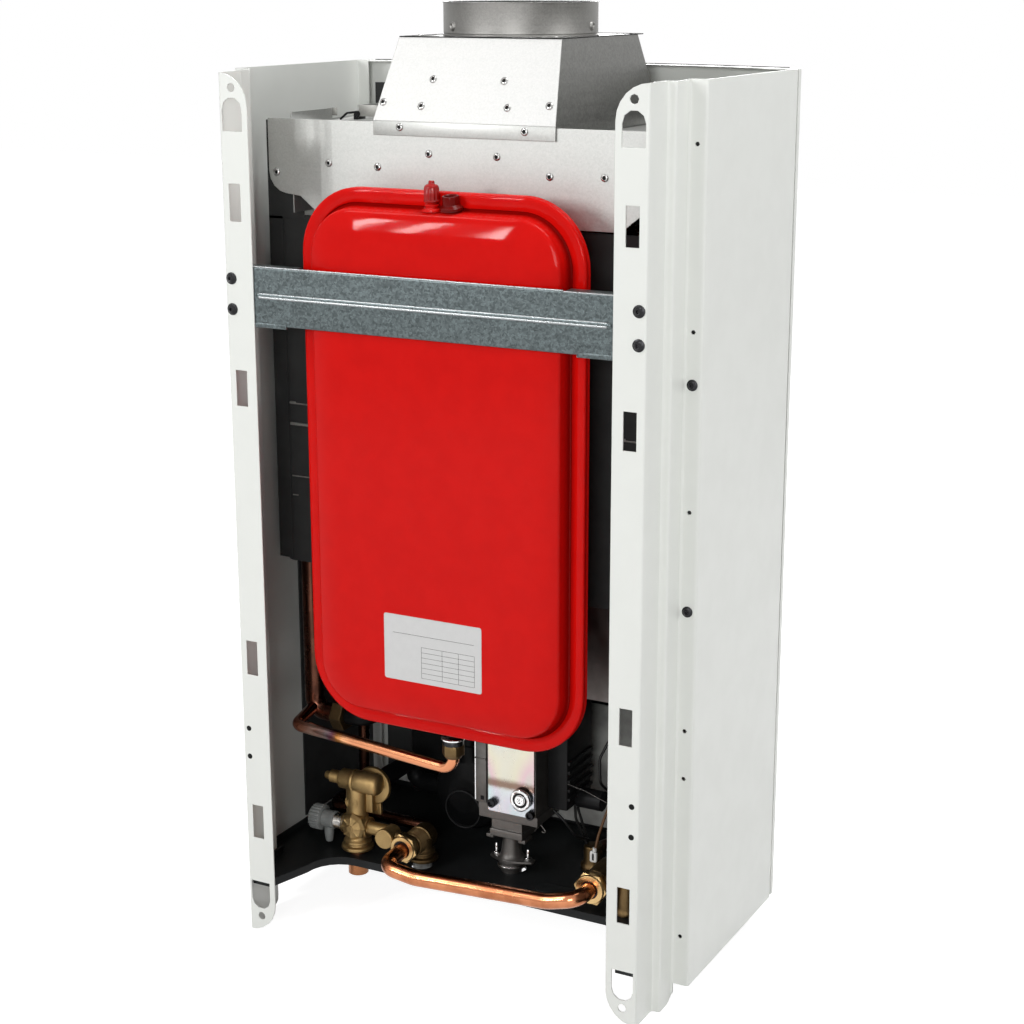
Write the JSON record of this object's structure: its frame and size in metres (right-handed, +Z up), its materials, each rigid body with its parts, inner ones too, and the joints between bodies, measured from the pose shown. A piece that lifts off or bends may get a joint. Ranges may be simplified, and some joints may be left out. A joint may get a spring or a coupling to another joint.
{
  "type": "wall-hung gas boiler",
  "caption": "Wall-hung open-flue gas combination boiler with its open back: red flat expansion vessel, tapered draught hood, copper pipes, brass groups, gas valve and bowed front.",
  "frame": {"origin": "on the wall plane, on the middle line of the casing, level with the ends of the lower hanging lugs", "axes": "+Z up, -Y out of the wall towards the user, +X to the right as seen from the front"},
  "size_m": [0.4, 0.271, 0.7594],
  "materials": {
    "white_stove_paint": "semi-gloss stove paint",
    "galvanised_sheet": "spangled zinc",
    "aluminised_sheet": "matt aluminised",
    "dark_heat_proof_sheet": "matt, heat-stained",
    "red_enamel": "gloss epoxy paint",
    "red_plastic": "gloss",
    "sand_cast_brass": "as cast",
    "copper_tube": "bright drawn copper",
    "black_plastic": "matt",
    "black_motor": "black painted",
    "grey_plastic": "matt",
    "pale_plastic": "satin",
    "die_cast_alloy": "as cast",
    "passivated_zinc": "bright iridescent passivate",
    "black_rubber": "matt",
    "ceramic_fibre": "matt board",
    "stainless_steel": "satin"
  },
  "bodies": {
    "boiler": {"side_panel_right": "white_stove_paint", "side_panel_left": "white_stove_paint", "base_tray": "black_plastic", "hanging_bar": "galvanised_sheet", "vessel_rear_shell": "red_enamel", "vessel_front_shell": "red_enamel", "vessel_rim": "red_enamel", "vessel_membrane": "black_rubber", "vessel_washer": "pale_plastic", "vessel_nut": "sand_cast_brass", "vessel_pipe": "copper_tube", "hood_rear_plate": "galvanised_sheet", "hood_body": "galvanised_sheet", "hood_cone": "galvanised_sheet", "flue_collar": "galvanised_sheet", "draught_baffle": "aluminised_sheet", "chamber_rear_panel": "dark_heat_proof_sheet", "chamber_walls": "aluminised_sheet", "chamber_front_panel": "aluminised_sheet", "chamber_insulation": "ceramic_fibre", "heat_exchanger": "copper_tube", "burner": "stainless_steel", "gas_manifold": "sand_cast_brass", "ignition_electrode": "pale_plastic", "flame_electrode": "pale_plastic", "gas_valve_body": "die_cast_alloy", "gas_valve_plate": "passivated_zinc", "gas_valve_coil": "black_plastic", "gas_valve_cable": "black_rubber", "gas_inlet": "die_cast_alloy", "gas_pipe": "copper_tube", "return_group": "sand_cast_brass", "drain_cock_body": "grey_plastic", "cold_group": "sand_cast_brass", "bypass_nut_right": "sand_cast_brass", "bypass_nut_left": "sand_cast_brass", "bypass_pipe": "copper_tube", "flow_group": "sand_cast_brass", "hot_outlet_elbow": "sand_cast_brass", "pump_volute": "black_plastic", "pump_motor": "black_motor", "pump_outlet_tube": "black_plastic", "pump_union_nut": "sand_cast_brass", "return_riser": "copper_tube", "flow_riser": "copper_tube", "cold_water_pipe": "copper_tube", "hot_water_pipe": "copper_tube", "control_box": "black_plastic", "control_fascia": "grey_plastic", "pressure_gauge": "pale_plastic"},
    "cover": {"front_cover": "white_stove_paint"},
    "vessel_cap": {"air_valve_cap": "red_plastic"},
    "drain_cap": {"drain_cock_cap": "grey_plastic"},
    "safety_knob": {"safety_valve_knob": "red_plastic"},
    "heating_control": {"heating_knob": "pale_plastic"},
    "hot_water_control": {"hot_water_knob": "pale_plastic"},
    "needle": {"gauge_needle": "black_plastic"},
    "rotor": {"pump_rotor": "stainless_steel"}
  },
  "joints": [
    {"name": "cover_tilt", "type": "hinge", "parent": "boiler", "child": "cover", "pos_m": [0, -0.2312, 0.709], "axis": [-1, 0, 0], "range_deg": [0, 12]},
    {"name": "vessel_cap_turn", "type": "hinge", "parent": "boiler", "child": "vessel_cap", "pos_m": [0.002, -0.0156, 0.6118], "axis": [0, 0, 1], "range_deg": [0, 720]},
    {"name": "drain_cap_turn", "type": "hinge", "parent": "boiler", "child": "drain_cap", "pos_m": [0.1594, -0.088, 0.0705], "axis": [1, 0, 0], "range_deg": [0, 540]},
    {"name": "safety_knob_turn", "type": "hinge", "parent": "boiler", "child": "safety_knob", "pos_m": [-0.131, -0.129, 0.088], "axis": [0, -1, 0], "range_deg": [0, 90]},
    {"name": "heating_knob_turn", "type": "hinge", "parent": "boiler", "child": "heating_control", "pos_m": [-0.1, -0.2492, 0.112], "axis": [0, -1, 0], "range_deg": [-135, 135]},
    {"name": "hot_water_knob_turn", "type": "hinge", "parent": "boiler", "child": "hot_water_control", "pos_m": [-0.052, -0.2492, 0.112], "axis": [0, -1, 0], "range_deg": [-135, 135]},
    {"name": "gauge_needle_turn", "type": "hinge", "parent": "boiler", "child": "needle", "pos_m": [0.03, -0.2509, 0.112], "axis": [0, -1, 0], "range_deg": [-135, 135]},
    {"name": "pump_rotor_spin", "type": "hinge", "parent": "boiler", "child": "rotor", "pos_m": [0.05, -0.1915, 0.092], "axis": [0, -1, 0], "continuous": true}
  ]
}
